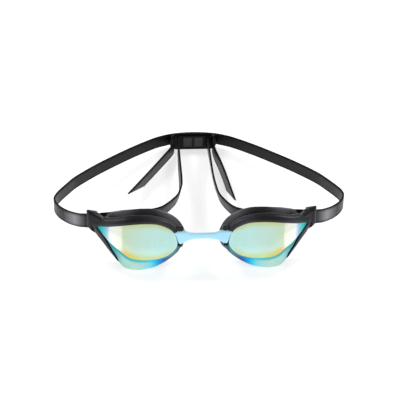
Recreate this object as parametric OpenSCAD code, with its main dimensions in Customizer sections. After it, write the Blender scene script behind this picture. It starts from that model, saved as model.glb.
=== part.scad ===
// Racing swim goggles: two eye cups, a nose bridge, one long strap and a rear clip.
// Millimetres. X runs across the face, Y runs backward, Z is up.
// The goggles stand as they rest on a table, and the origin is the middle of the footprint.
// Left and right are the wearer's, so left is +X.

/* [Eye cups] */
// Backward lean of the cups as they rest, in degrees
lean = 20; // [18:0.5:22]
// How far the temple end wraps back behind the front of the lens
temple_wrap = 13; // [11:0.5:15]
// How far the nose end sits behind the front of the lens
nose_wrap = 2; // [1:0.25:3]
// Crown of the lens front at its middle
lens_crown = 0.4; // [0:0.1:0.8]
// Thickness of the lens wall
lens_t = 2.1; // [1.8:0.1:2.2]
// Depth of the bevel round the lens front
bevel = 4.5; // [4:0.1:4.8]

/* [Strap] */
// Width of the strap
strap_w = 10; // [9:0.25:10.4]
// Thickness of the strap
strap_t = 1.3; // [1:0.1:1.5]

/* [Nose bridge] */
// Height of the bridge at its middle
bridge_h = 4; // [3:0.25:5]
// Radius of the two posts that the bridge turns on
post_r = 0.9; // [0.7:0.1:1]
// Clearance between a post and its bore
post_gap = 0.15; // [0.1:0.05:0.3]

/* [Rear clip] */
// Width of the clip
clip_w = 37; // [36:0.5:40]
// Height of the clip
clip_h = 13.5; // [13:0.25:15]
// Thickness of the clip plate
clip_t = 4.7; // [4.4:0.1:5]
// Height of the four strap slots
slot_h = 10.8; // [10.6:0.1:11]

/* [Hidden] */

// Curve steps between two outline points, and between two strap route points
outline_steps = 3;
route_steps = 3;

// The cups are drawn with X outward, Y backward from the lens front and Z up the lens,
// then leaned back and lifted on to the table. The layout's Y zero is near the lens edge.
cup_lift = 1.38;
middle_y = 82.4;

// Matching outline points round the left cup, as [outward, up]. They start at the temple tip
// and go over the brow to the nose, then back along the bottom.
facet_pts = [
    [73, 31.4], [65.5, 32.4], [57, 33.8], [48.5, 34.9], [40, 35.2], [31.5, 34.5], [24, 31.4],
    [20.2, 27.9], [18.5, 24], [18, 20.5], [19, 17], [22, 13.8], [26.2, 11.2], [33.5, 9.4],
    [41, 9.1], [47.5, 9.8], [52.5, 11.7], [57, 15.2], [61.5, 18.5], [66, 22.6], [70, 27.1]
];
rim_pts = [
    [79.6, 34], [71, 37.2], [61.3, 38.2], [53, 40], [43.8, 40.7], [34.2, 39.8], [25.5, 37.2],
    [19.3, 32.6], [15.5, 26.5], [14, 20.5], [16, 14.8], [20, 10.4], [25.5, 6.5], [33, 2.7],
    [40, 0.9], [47.5, 0.2], [55, 2.4], [60.5, 7.6], [65.3, 13], [70.3, 19.6], [76, 26.5]
];
gasket_pts = [
    [69.5, 31], [69.6, 36], [60.5, 36.4], [52.6, 38.1], [43.6, 38.8], [34.3, 37.9], [26, 35.4],
    [20.4, 31.1], [17.2, 25.7], [15.9, 20.5], [17.7, 15.5], [21, 12], [26.8, 7.9], [33.1, 4.6],
    [40.2, 2.8], [47.5, 2.1], [54.5, 4.2], [59.7, 9.3], [64, 14.4], [68.7, 20.7], [69.5, 26]
];
seal_pts = [
    [68, 31], [66.5, 38], [58, 41], [50, 42], [42, 42.5], [33, 42], [24, 39], [17, 34],
    [12.8, 27.5], [11.5, 21], [13.5, 14.5], [18.5, 10], [25, 6.9], [33, 4.8], [41, 3.9],
    [48.5, 4.3], [55, 6.3], [60, 10], [63.5, 15], [66.5, 20], [68, 25.5]
];
// How much of the way from the facet to the rim the lens edge reaches at each point
reach = [
    0.25, 0.35, 0.35, 0.35, 0.35, 0.35, 0.25, 0.12, 0.1, 0.15, 0.9, 1, 1, 1,
    1, 1, 1, 0.78, 0.37, 0.3, 0.25
];
// How far the frame comes round in front of the lens: 1 is a brow, 0 stays behind
hood = [1, 1, 1, 1, 1, 1, 1, 0.8, 0, 0, 0, 0, 0, 0, 0, 0, 0, 0, 0.8, 1, 1];
facet_centre = [42, 21.5];

// Depths behind the lens front
frame_rear = 9.1;
gasket_front = 9.45;
seal_depth = 14.5;

// Temple housing, with the strap slot between its front wall and its rear bar
housing_plan = [
    [71.5, 13.4], [75.2, 13.4], [77.3, 11.6], [79, 12.2], [80.4, 14], [80.7, 16], [80.7, 17.8],
    [79.8, 20.9], [79, 23.2], [76, 23.2], [74.6, 21.4]
];
// Its outline as seen from the front, rising to a horn at the top
housing_face = [[79.5, 28], [80.6, 31], [80.6, 38.6], [78.8, 41], [71, 38.4], [70, 38], [70, 25], [77, 25]];
housing_depth = 30;
opening_x = [68, 82];
opening_depth = [17.8, 20.9];
opening_up = [27.1, 37.7];

// Nose bridge and its posts
post_x = 15.6;
post_depth = 4;
post_up = [17.6, 31.2];
pocket_x = [8, 19.6];
pocket_up = [18.9, 30.4];
pocket_depth = [-4, 6.3];
low_ear_x = [14.2, 16];
high_ear_x = [14.2, 19.4];
ear_depth = [2.7, 8.5];
tab_depth = [0.8, 5.9];
bar_depth = [1.6, 4.8];
bridge_mid_up = 23.9;
bar_rise = 1.3;
bore_r = post_r + post_gap;
// The far bore is looser, because the two posts move apart as the cups swing
loose_bore_r = post_r + 0.6;
bore_reach = 20;

// Rear clip
clip_corner = 3.6;
clip_front = 153.3;
slot_in = [10.5, 13];
slot_out = [15, 17.2];
bar_inset = 0.5;
bar_t = 1.9;
keeper_x = [15.4, 18];
keeper_rear = 161.3;
keeper_wall = 1;
clip_mid_z = clip_h / 2;

// Strap routes in layout coordinates, along the middle of the band
slot_route = [
    [81.8, 30.2, 24.95], [79.6, 29.3, 25.3], [77, 29, 25.4], [74.4, 29.4, 25.25],
    [71.5, 30.7, 24.8]
];
left_behind = [[62, 33.9, 22.8], [53, 36, 21.3], [46, 37.6, 20.6]];
right_behind = [[62, 34.8, 22.8], [53, 37.8, 21.3], [46, 40, 20.6]];
bend_route = [
    [82.1, 30.3, 24.9], [87, 32.2, 24.1], [94.5, 37.8, 22.8], [101, 46, 21.4], [104.4, 55, 20.1],
    [104.2, 62, 19.1]
];
side_route = [
    [104.1, 62.3, 19.05], [101.6, 69.5, 18], [96.4, 79.8, 16.7], [90, 91.2, 15.1],
    [76.3, 108.5, 12.8], [62, 123.8, 10.9], [47, 138.4, 9.2], [32, 151, 7.8], [24.1, 156, 7.1]
];
rear_route = [[23.8, 156.2, 7.05], [17, 159.1, 6.75], [9, 160.5, 6.75], [0, 161, 6.75]];
left_bend_in = [
    [45.7, 37.7, 20.55], [36.1, 39.3, 20.2], [29.3, 41.9, 19.8], [23.5, 46.9, 19],
    [19.2, 55.3, 17.8], [15.7, 66, 16.2]
];
right_bend_in = [
    [45.7, 40.1, 20.55], [36, 42.1, 20.2], [28.5, 46, 19.8], [23.4, 51.7, 19],
    [19.6, 58, 18], [16, 66, 16.5]
];
left_return = [
    [15.6, 66.3, 16.2], [14, 81, 13.9], [12.9, 97.5, 11.8], [12.4, 116.5, 9.8],
    [12.1, 137, 7.7], [11.75, 152.6, 6.75]
];
right_return = [
    [15.9, 66.3, 16.4], [13, 80, 14.3], [12.3, 92, 12.8], [12.2, 105, 11.4],
    [12.2, 124, 9.3], [12, 141, 7.4], [11.75, 152.6, 6.75]
];
loop_route = [
    [11.75, 152.9, 6.75], [11.75, 155.2, 6.75], [12.5, 156.6, 6.75], [14, 157.1, 6.75],
    [15.5, 156.6, 6.75], [16.2, 155.2, 6.75], [16.2, 152.9, 6.75]
];
left_tail_route = [
    [16.2, 152.6, 6.75], [15.5, 147.5, 6.6], [16.5, 137.5, 6.2], [19.3, 124, 5.8],
    [21.9, 109, 5.4], [23.6, 97, 5.2]
];
right_tail_route = [
    [16.2, 152.6, 6.75], [15.8, 147, 6.6], [18.4, 140.5, 6.4], [22.8, 132.8, 6.1],
    [30, 120.5, 5.6], [39.3, 104.7, 5.2]
];
// How far the slanted end reaches along the upper edge
tail_cut = 26;
// Up vectors of the lower runs at their turn, and of the tails at their ends
turn_up = [-0.22, -0.1, 1];
left_tail_up = [0.08, 0.01, 1];
right_tail_up = [-0.1, -0.06, 1];

// ---- Curves ----

function knot(a, b, c, d, t) =
    0.5 * (2 * b + (c - a) * t + (2 * a - 5 * b + 4 * c - d) * t * t
    + (3 * b - a - 3 * c + d) * t * t * t);

function ring_curve(p, steps) = let (n = len(p)) [
    for (i = [0:n - 1], k = [0:steps - 1])
        knot(p[(i + n - 1) % n], p[i], p[(i + 1) % n], p[(i + 2) % n], k / steps)
];

function open_curve(p, steps) = let (
        n = len(p),
        first = 2 * p[0] - p[1],
        last = 2 * p[n - 1] - p[n - 2]
    ) concat([
        for (i = [0:n - 2], k = [0:steps - 1])
            knot(i > 0 ? p[i - 1] : first, p[i], p[i + 1], i + 2 < n ? p[i + 2] : last, k / steps)
    ], [p[n - 1]]);

function unit(v) = v / norm(v);
function mix(a, b, t) = a + (b - a) * t;

// ---- Outlines of a cup ----

facet = ring_curve(facet_pts, outline_steps);
rim = ring_curve(rim_pts, outline_steps);
gasket_edge = ring_curve(gasket_pts, outline_steps);
seal = ring_curve(seal_pts, outline_steps);
edge_reach = ring_curve(reach, outline_steps);
brow = ring_curve(hood, outline_steps);
stations = [0:len(facet) - 1];

// The lens front is level at wrap_start and falls back on both sides of it
wrap_start = 46;
wrap_run = 33;
function wrap(x) = (x > wrap_start ? temple_wrap : nose_wrap) * pow((x - wrap_start) / wrap_run, 2);

function outward(i) = unit(rim[i] - facet[i]);
function breadth(i) = norm(rim[i] - facet[i]);

// A point of an outline, at a depth behind the wrapped front
function behind(p, depth) = [p[0], wrap(p[0]) + depth, p[1]];
// A point that stands a distance outward from the facet edge
function from_facet(i, out, depth) = behind(facet[i] + outward(i) * out, depth);
// A point part of the way from the middle of the facet to its edge
function in_facet(i, part, depth) = behind(mix(facet_centre, facet[i], part), depth);
// Points a distance inward from the gasket's front edge, and from its seal edge on the face
function from_gasket(i, inward, depth) = behind(gasket_edge[i] - outward(i) * inward, depth);
seal_wrap = 0.9;
function from_seal(i, inward, depth) = let (p = seal[i] - outward(i) * inward)
    [p[0], seal_wrap * wrap(p[0]) + depth, p[1]];

// ---- Solids from sections ----

// A closed ring of closed sections
module loft_ring(sections) {
    n = len(sections);
    m = len(sections[0]);
    polyhedron(
        points = [for (s = sections) each s],
        faces = [
            for (i = [0:n - 1], j = [0:m - 1])
                let (
                    next = ((i + 1) % n) * m,
                    a = i * m + j,
                    b = i * m + (j + 1) % m,
                    c = next + (j + 1) % m,
                    d = next + j
                )
                    each [[a, c, b], [a, d, c]]
        ]
    );
}

// Nested rings from a first centre point to a last one
module loft_dome(first, rings, last) {
    n = len(rings);
    m = len(rings[0]);
    polyhedron(
        points = concat([first], [for (r = rings) each r], [last]),
        faces = concat(
            [for (j = [0:m - 1]) [0, 1 + (j + 1) % m, 1 + j]],
            [
                for (i = [0:n - 2], j = [0:m - 1])
                    let (a = 1 + i * m + j, b = 1 + i * m + (j + 1) % m, c = b + m, d = a + m)
                        each [[a, b, c], [a, c, d]]
            ],
            [for (j = [0:m - 1]) [n * m + 1, 1 + (n - 1) * m + j, 1 + (n - 1) * m + (j + 1) % m]]
        )
    );
}

// A flat band along a route. Each ring is square to the route and stands up along its up vector.
function band_ring(centre, forward, up, wide, thick, shear = 0) = let (
        f = unit(forward),
        u = unit(up - (up * f) * f),
        side = cross(f, u)
    ) [
        centre - side * thick / 2 - u * wide / 2,
        centre + side * thick / 2 - u * wide / 2,
        centre + side * thick / 2 + u * wide / 2 + f * shear,
        centre - side * thick / 2 + u * wide / 2 + f * shear
    ];

module band(route, up_start, up_end, face_start = undef, face_end = undef, cut = 0) {
    p = open_curve(route, route_steps);
    n = len(p);
    heading = [
        for (i = [0:n - 1])
            i == 0 && !is_undef(face_start) ? face_start
            : i == n - 1 && !is_undef(face_end) ? face_end
            : p[min(i + 1, n - 1)] - p[max(i - 1, 0)]
    ];
    rings = [
        for (i = [0:n - 1])
            band_ring(
                p[i], heading[i], mix(up_start, up_end, i / (n - 1)),
                strap_w, strap_t, i == n - 1 ? cut : 0
            )
    ];
    translate([0, -middle_y, 0])
        polyhedron(
            points = [for (r = rings) each r],
            faces = concat(
                [[0, 1, 2], [0, 2, 3]],
                [
                    for (i = [0:n - 2], j = [0:3])
                        let (a = 4 * i + j, b = 4 * i + (j + 1) % 4)
                            each [[a, a + 4, b + 4], [a, b + 4, b]]
                ],
                [[4 * n - 4, 4 * n - 2, 4 * n - 3], [4 * n - 4, 4 * n - 1, 4 * n - 2]]
            )
        );
}

// ---- Placing ----

module in_cup() {
    translate([0, -middle_y, cup_lift]) rotate([-lean, 0, 0]) children();
}

module on_right() {
    mirror([1, 0, 0]) children();
}

// A box between two limits along each axis
module box(x, y, z) {
    translate([x[0], y[0], z[0]]) cube([x[1] - x[0], y[1] - y[0], z[1] - z[0]]);
}

slot_up_dir = [0, sin(lean), cos(lean)];
plumb = [0, 0, 1];

// ---- Eye cup pieces ----

// Depth of the lens edge, which follows the bevel back
function edge_depth(i) = bevel * edge_reach[i];
// The lens side draws in a little toward its rear
function side_out(i) = edge_reach[i] * (breadth(i) - 0.8);

module lens() {
    rim_wall = 0.9;
    color([0.72, 0.9, 0.84])
        in_cup()
            loft_dome(
                behind(facet_centre, -lens_crown),
                [
                    [for (i = stations) in_facet(i, 0.4, -lens_crown * 0.84)],
                    [for (i = stations) in_facet(i, 0.75, -lens_crown * 0.44)],
                    [for (i = stations) from_facet(i, 0, 0)],
                    [for (i = stations) from_facet(i, edge_reach[i] * breadth(i), edge_depth(i))],
                    [for (i = stations) from_facet(i, side_out(i), edge_depth(i) + lens_t)],
                    [for (i = stations) from_facet(i, side_out(i) - rim_wall, edge_depth(i) + lens_t)],
                    [for (i = stations) from_facet(i, min(-0.8, edge_reach[i] * breadth(i) - 2.4), lens_t)],
                    [for (i = stations) in_facet(i, 0.6, lens_t)]
                ],
                behind(facet_centre, lens_t)
            );
}

// Section of the frame where it comes round the front. Its lip lies along the facet edge at 1,
// and has drawn back to the lens edge at 0.
lens_gap = 0.3;
function brow_section(b, k, lip) = let (
        edge = k * b + lens_gap,
        inner = mix([edge, bevel * k], [lens_gap, 0], lip)
    ) [
        inner - [0, 0.1], inner - [0, 0.6], mix([edge, bevel * k - 0.8], [0.35 * b, -0.9], lip),
        [0.8 * b, 1], [b, 4.2], [b - 0.2, frame_rear - 0.5], [b - 2.6, frame_rear],
        [edge, 7], [edge, bevel * k]
    ];
// Section where it stays behind the lens
function back_section(b) = [
    [b - 2.6, 6.9], [b - 2.2, 6.88], [b - 1.8, 6.86], [b - 1.4, 6.86], [b - 0.95, 6.9],
    [b - 1.85, frame_rear], [b - 3, frame_rear + 0.1], [b - 3.4, 8.6], [b - 3.4, 7.4]
];
function frame_section(i) = let (
        b = breadth(i),
        front = brow_section(b, edge_reach[i], max(0, 2 * brow[i] - 1)),
        section = mix(back_section(b), front, min(1, 2 * brow[i]))
    ) [for (q = section) from_facet(i, q[0], q[1])];

// Block behind the temple end that carries the strap, before its slot is cut
module housing() {
    intersection() {
        linear_extrude(height = 2 * housing_depth) polygon(housing_plan);
        translate([0, housing_depth, 0])
            rotate([90, 0, 0]) linear_extrude(height = housing_depth) polygon(housing_face);
    }
}

module bridge_post() {
    translate([post_x, post_depth, post_up[0]])
        cylinder(r = post_r, h = post_up[1] - post_up[0], $fn = 32);
}

module bridge_ears() {
    box(low_ear_x, ear_depth, [post_up[0] - 0.3, pocket_up[0]]);
    box(high_ear_x, ear_depth, [pocket_up[1], post_up[1] + 0.8]);
}

module frame() {
    color([0.25, 0.25, 0.27])
        in_cup() {
            difference() {
                union() {
                    loft_ring([for (i = stations) frame_section(i)]);
                    housing();
                }
                box(pocket_x, pocket_depth, pocket_up);
                box(opening_x, opening_depth, opening_up);
            }
            bridge_ears();
            bridge_post();
        }
}

gasket_wall = 2;
function gasket_section(i) = [
    from_gasket(i, 0, gasket_front), from_gasket(i, 0.2, gasket_front + 1.3),
    from_seal(i, 0.7, seal_depth - 2.3), from_seal(i, 0, seal_depth - 0.9),
    from_seal(i, 0.8, seal_depth), from_seal(i, 3.8, seal_depth - 0.3),
    from_seal(i, 5, seal_depth - 1.9), from_gasket(i, gasket_wall, gasket_front)
];

module gasket() {
    color([0.1, 0.1, 0.11])
        in_cup() loft_ring([for (i = stations) gasket_section(i)]);
}

// ---- Nose bridge ----

module bridge() {
    high = bar_rise + bridge_h / 2;
    under = bar_rise - bridge_h / 2;
    top = [[0, high], [5, high + 0.2], [9.5, high + 1], [12.6, 5.7], [19, 5.9]];
    low = [[18.2, 3.3], [17, -0.8], [15.6, -3.6], [13.6, -3.4], [11, -2.6], [6, under - 0.4], [0, under]];
    side = concat(top, low);
    color([0.6, 0.85, 0.98])
        in_cup()
            translate([0, 0, bridge_mid_up])
                difference() {
                    union() {
                        tab_side(side) tab_cut();
                        tab_side(side) bar_cut();
                        mirror([1, 0, 0]) tab_side(side) tab_cut();
                        mirror([1, 0, 0]) tab_side(side) bar_cut();
                    }
                    bore(post_x, bore_r);
                    bore(-post_x, loose_bore_r);
                }
}

module bore(x, r) {
    translate([x, post_depth, -bore_reach]) cylinder(r = r, h = 2 * bore_reach, $fn = 32);
}

// Half of the bridge outline, kept only inside the child box
module tab_side(side) {
    intersection() {
        rotate([90, 0, 0]) linear_extrude(height = 2 * bore_reach, center = true) polygon(side);
        children();
    }
}

module tab_cut() {
    box([11.6, 20], tab_depth, [-8, 8]);
}

module bar_cut() {
    box([0, 12], bar_depth, [-8, 8]);
}

// ---- Rear clip ----

module clip_outline() {
    r = clip_corner;
    square([clip_w - 2 * r, clip_h], center = true);
    square([clip_w, clip_h - 2 * r], center = true);
    for (x = [-1, 1], z = [-1, 1])
        translate([x * (clip_w / 2 - r), z * (clip_h / 2 - r)]) circle(r = r, $fn = 48);
}

module clip_slots(x) {
    box(
        x, [clip_front - 1, clip_front + clip_t + 1],
        [clip_mid_z - slot_h / 2, clip_mid_z + slot_h / 2]
    );
}

module keeper() {
    low = clip_mid_z - slot_h / 2 - keeper_wall;
    high = clip_mid_z + slot_h / 2 + keeper_wall;
    difference() {
        box(keeper_x, [clip_front + clip_t - 0.5, keeper_rear], [low, high]);
        box(
            [keeper_x[0] - 1, keeper_x[1] + 1], [clip_front + clip_t - 0.6, keeper_rear - keeper_wall],
            [low + keeper_wall, high - keeper_wall]
        );
    }
}

module clip() {
    bar_front = clip_front + bar_inset;
    color([0.07, 0.07, 0.08])
        translate([0, -middle_y, 0]) {
            difference() {
                translate([0, clip_front + clip_t, clip_mid_z])
                    rotate([90, 0, 0]) linear_extrude(height = clip_t) clip_outline();
                for (s = [0, 1]) mirror([s, 0, 0]) {
                    clip_slots([slot_in[0], slot_out[1]]);
                    box([1, 7.6], [clip_front - 1, clip_front + 0.7], [2, clip_h - 2]);
                }
            }
            for (s = [0, 1]) mirror([s, 0, 0]) {
                box([slot_in[1], slot_out[0]], [bar_front, bar_front + bar_t], [0.9, clip_h - 0.9]);
                box([8.6, 9.4], [clip_front - 0.4, clip_front + 0.1], [2, clip_h - 2]);
                keeper();
            }
        }
}

// ---- Strap pieces ----

module strap_colour() {
    color([0.13, 0.13, 0.14]) children();
}

module strap_slot(behind) {
    strap_colour()
        band(concat(slot_route, behind), slot_up_dir, slot_up_dir, [-1, 0, 0], [-1, 0, 0]);
}

module strap_bend() {
    strap_colour() band(bend_route, slot_up_dir, plumb, [1, 0, 0], [0, 1, 0]);
}

module strap_side() {
    strap_colour() band(side_route, plumb, plumb, [0, 1, 0], undef);
}

module inner_bend(route) {
    strap_colour() band(route, slot_up_dir, turn_up, [-1, 0, 0], [0, 1, 0]);
}

module strap_return(route) {
    strap_colour() band(route, turn_up, plumb, [0, 1, 0], [0, 1, 0]);
}

module strap_loop() {
    strap_colour() band(loop_route, plumb, plumb, [0, 1, 0], [0, -1, 0]);
}

module tail(route, end_up) {
    strap_colour() band(route, plumb, end_up, [0, -1, 0], undef, tail_cut);
}

module strap_behind_clip() {
    half = rear_route;
    mirrored = [for (i = [len(half) - 2:-1:0]) [-half[i][0], half[i][1], half[i][2]]];
    strap_colour() band(concat(half, mirrored), plumb, plumb);
}

bridge();  // nose_bridge
clip();  // rear_clip
strap_behind_clip();  // rear_strap
lens();  // left_lens
frame();  // left_frame
gasket();  // left_gasket
strap_slot(left_behind);  // left_strap_slot
strap_bend();  // left_strap_bend
strap_side();  // left_strap_side
inner_bend(left_bend_in);  // left_inner_bend
strap_return(left_return);  // left_strap_return
strap_loop();  // left_strap_loop
tail(left_tail_route, left_tail_up);  // left_tail
on_right() lens();  // right_lens
on_right() frame();  // right_frame
on_right() gasket();  // right_gasket
on_right() strap_slot(right_behind);  // right_strap_slot
on_right() strap_bend();  // right_strap_bend
on_right() strap_side();  // right_strap_side
on_right() inner_bend(right_bend_in);  // right_inner_bend
on_right() strap_return(right_return);  // right_strap_return
on_right() strap_loop();  // right_strap_loop
on_right() tail(right_tail_route, right_tail_up);  // right_tail
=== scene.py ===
"""Racing swim goggles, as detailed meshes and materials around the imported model.

Shapes are laid out in millimetres: X across the face, Y backward and Z up, with Y zero near the
lower edge of the lenses. A point becomes metres in the row frame when its mesh is made. A cup's
own points are [outward, depth behind the lens front, up the lens], before the cup leans back.
"""

import math
from types import SimpleNamespace

import bmesh
import bpy
import numpy as np
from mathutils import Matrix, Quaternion, Vector


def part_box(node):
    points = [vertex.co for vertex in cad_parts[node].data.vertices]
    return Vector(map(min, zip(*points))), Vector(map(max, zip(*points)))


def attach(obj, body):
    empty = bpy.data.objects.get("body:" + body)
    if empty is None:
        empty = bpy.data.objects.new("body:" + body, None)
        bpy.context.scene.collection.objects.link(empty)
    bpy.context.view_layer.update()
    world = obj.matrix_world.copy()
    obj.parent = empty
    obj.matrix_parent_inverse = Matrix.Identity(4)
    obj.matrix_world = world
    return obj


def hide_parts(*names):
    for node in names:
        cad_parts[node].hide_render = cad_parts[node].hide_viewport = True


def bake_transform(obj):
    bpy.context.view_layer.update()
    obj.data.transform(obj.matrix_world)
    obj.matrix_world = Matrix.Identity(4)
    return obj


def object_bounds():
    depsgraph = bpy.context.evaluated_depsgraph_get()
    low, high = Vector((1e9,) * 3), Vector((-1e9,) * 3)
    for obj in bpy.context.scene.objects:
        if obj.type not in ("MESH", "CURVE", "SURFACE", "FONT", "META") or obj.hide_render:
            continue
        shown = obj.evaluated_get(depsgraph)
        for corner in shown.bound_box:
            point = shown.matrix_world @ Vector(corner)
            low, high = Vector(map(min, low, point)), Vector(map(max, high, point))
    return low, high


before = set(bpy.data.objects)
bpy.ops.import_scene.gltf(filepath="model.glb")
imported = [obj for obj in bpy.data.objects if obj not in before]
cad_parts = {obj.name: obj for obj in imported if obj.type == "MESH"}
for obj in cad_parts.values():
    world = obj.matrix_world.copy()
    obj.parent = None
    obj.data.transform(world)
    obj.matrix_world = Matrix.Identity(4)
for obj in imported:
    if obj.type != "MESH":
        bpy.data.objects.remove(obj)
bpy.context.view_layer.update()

MM = 0.001
LEAN = math.radians(20)
CUP_LIFT = 1.38
CLIP_REAR = 161.3
MIDDLE_Y = CLIP_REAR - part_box("rear_clip")[1].y / MM
SIDES = {"left": 1, "right": -1}

# ---- Cup outlines, as [outward, up], from the temple tip over the brow to the nose and back ----

FACET = [
    [73, 31.4], [65.5, 32.4], [57, 33.8], [48.5, 34.9], [40, 35.2], [31.5, 34.5], [24, 31.4],
    [20.2, 27.9], [18.5, 24], [18, 20.5], [19, 17], [22, 13.8], [26.2, 11.2], [33.5, 9.4],
    [41, 9.1], [47.5, 9.8], [52.5, 11.7], [57, 15.2], [61.5, 18.5], [66, 22.6], [70, 27.1],
]
RIM = [
    [79.6, 34], [71, 37.2], [61.3, 38.2], [53, 40], [43.8, 40.7], [34.2, 39.8], [25.5, 37.2],
    [19.3, 32.6], [15.5, 26.5], [14, 20.5], [16, 14.8], [20, 10.4], [25.5, 6.5], [33, 2.7],
    [40, 0.9], [47.5, 0.2], [55, 2.4], [60.5, 7.6], [65.3, 13], [70.3, 19.6], [76, 26.5],
]
GASKET = [
    [69.5, 31], [69.6, 36], [60.5, 36.4], [52.6, 38.1], [43.6, 38.8], [34.3, 37.9], [26, 35.4],
    [20.4, 31.1], [17.2, 25.7], [15.9, 20.5], [17.7, 15.5], [21, 12], [26.8, 7.9], [33.1, 4.6],
    [40.2, 2.8], [47.5, 2.1], [54.5, 4.2], [59.7, 9.3], [64, 14.4], [68.7, 20.7], [69.5, 26],
]
SEAL = [
    [68, 31], [66.5, 38], [58, 41], [50, 42], [42, 42.5], [33, 42], [24, 39], [17, 34],
    [12.8, 27.5], [11.5, 21], [13.5, 14.5], [18.5, 10], [25, 6.9], [33, 4.8], [41, 3.9],
    [48.5, 4.3], [55, 6.3], [60, 10], [63.5, 15], [66.5, 20], [68, 25.5],
]
# At each outline point: the lens's share of the rim's breadth, and how far the brow covers it
REACH = [
    0.25, 0.35, 0.35, 0.35, 0.35, 0.35, 0.25, 0.12, 0.1, 0.15, 0.9, 1, 1, 1,
    1, 1, 1, 0.9, 0.62, 0.33, 0.25,
]
HOOD = [1, 1, 1, 1, 1, 1, 1, 0.8, 0, 0, 0, 0, 0, 0, 0, 0, 0, 0.5, 0.5, 0.6, 0.95]
FACET_MIDDLE = np.array([42, 21.5])
OUTLINE_STEPS = 12
# From WRAP_START the front falls back by TEMPLE_WRAP over WRAP_RUN outward, and less inward
WRAP_START = 46
WRAP_RUN = 33
TEMPLE_WRAP = 13
NOSE_WRAP = 2
SEAL_WRAP = 0.9
BEVEL = 4.5
LENS_T = 2.1
CROWN = 0.4
FRAME_REAR = 9.1
GASKET_FRONT = 9.45
SEAL_DEPTH = 14.5

# ---- Strap routes, along the middle of the band, for the left side ----

STRAP_W = 10
STRAP_T = 1.3
ROUTE_STEPS = 8
# The bend beside the temple has a painted highlight, pale round one distance outward, and less so to
# either side
PALE_MIDDLE = 89.5
PALE_REACH = 8
PALE_REAR = 60
# The long run is painted darker as shade between these distances backward
FAR_DARK = [62, 90]
# The flat face gives way to the rounded edge from here outward, along the band's width; the edge is
# painted darker as shade
EDGE_START = 4.2
EDGE_RUN = 0.5
SLOT_MIDDLE = [77, 29, 25.4]
OUTER_ROUTE = [
    SLOT_MIDDLE, [79.6, 29.3, 25.3], [82, 30.25, 24.93], [87, 32.2, 24.1], [94.5, 37.8, 22.8],
    [101, 46, 21.4], [104.4, 55, 20.1], [104.15, 62.15, 19.08],
]
SIDE_ROUTE = [
    [101.6, 69.5, 18], [96.4, 79.8, 16.7], [90, 91.2, 15.1], [76.3, 108.5, 12.8],
    [62, 123.8, 10.9], [47, 138.4, 9.2], [32, 151, 7.8], [24, 156.1, 7.1],
]
REAR_ROUTE = [[17, 159.1, 6.75], [9, 160.5, 6.75], [0, 161, 6.75]]
INNER_ROUTE = {
    "left": [
        SLOT_MIDDLE, [74.4, 29.4, 25.25], [71.5, 30.7, 24.8], [62, 33.9, 22.8], [53, 36, 21.3],
        [45.9, 37.65, 20.6], [36.1, 39.3, 20.2], [29.3, 41.9, 19.8], [23.5, 46.9, 19],
        [19.2, 55.3, 17.8], [15.7, 66.15, 16.2],
    ],
    "right": [
        SLOT_MIDDLE, [74.4, 29.4, 25.25], [71.5, 30.7, 24.8], [62, 34.8, 22.8], [53, 37.8, 21.3],
        [45.9, 40.05, 20.6], [36, 42.1, 20.2], [28.5, 46, 19.8], [23.4, 51.7, 19],
        [19.6, 58, 18], [16, 66.15, 16.5],
    ],
}
RETURN_ROUTE = {
    "left": [
        [14, 81, 13.9], [12.9, 97.5, 11.8], [12.4, 116.5, 9.8], [12.1, 137, 7.7],
        [11.75, 152.75, 6.75],
    ],
    "right": [
        [13, 80, 14.3], [12.3, 92, 12.8], [12.2, 105, 11.4], [12.2, 124, 9.3],
        [12, 141, 7.4], [11.75, 152.75, 6.75],
    ],
}
LOOP_ROUTE = [
    [11.75, 155.2, 6.75], [12.5, 156.6, 6.75], [14, 157.1, 6.75], [15.5, 156.6, 6.75],
    [16.2, 155.2, 6.75], [16.2, 152.75, 6.75],
]
TAIL_ROUTE = {
    "left": [
        [15.5, 147.5, 6.6], [16.5, 137.5, 6.2], [19.3, 124, 5.8], [21.9, 109, 5.4], [23.6, 97, 5.2],
    ],
    "right": [
        [15.8, 147, 6.6], [18.4, 140.5, 6.4], [22.8, 132.8, 6.1], [30, 120.5, 5.6],
        [39.3, 104.7, 5.2],
    ],
}
TAIL_CUT = 26
# Up along the tails' ends and along the inner run's bends
TAIL_UP = {"left": [0.08, 0.01, 1], "right": [-0.1, -0.06, 1]}
BEND_UP = [-0.06, -0.2, 1]
TURN_UP = [-0.22, -0.1, 1]
# Up along the leaning cups, which the temple slots follow
SLOT_UP = np.array([0, math.sin(LEAN), math.cos(LEAN)])
PLUMB = np.array([0.0, 0.0, 1.0])

# ---- Curves and places ----


def spline(points, steps, closed=False):
    """A smooth curve through the points, with that many steps between each two."""
    p = np.asarray(points, float)
    if closed:
        spans = [np.roll(p, shift, axis=0) for shift in (1, 0, -1, -2)]
    else:
        longer = np.vstack([2 * p[0] - p[1], p, 2 * p[-1] - p[-2]])
        spans = [longer[:-3], longer[1:-2], longer[2:-1], longer[3:]]
    a, b, c, d = (s[:, None, :] for s in spans)
    t = (np.arange(steps) / steps)[None, :, None]
    curve = 2 * b + (c - a) * t + (2 * a - 5 * b + 4 * c - d) * t**2 + (3 * b - a - 3 * c + d) * t**3
    curve = 0.5 * curve.reshape(-1, p.shape[1])
    return curve if closed else np.vstack([curve, p[-1]])


def unit(v):
    """The vectors at length 1."""
    return v / np.linalg.norm(v, axis=-1, keepdims=True)


def cup_to_layout(points):
    """Cup points to layout points, leaning back and lifted to where the cup rests."""
    u, w, v = np.moveaxis(np.asarray(points, float), -1, 0)
    y = v * math.sin(LEAN) + w * math.cos(LEAN)
    z = v * math.cos(LEAN) - w * math.sin(LEAN) + CUP_LIFT
    return np.stack([u, y, z], axis=-1)


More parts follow.
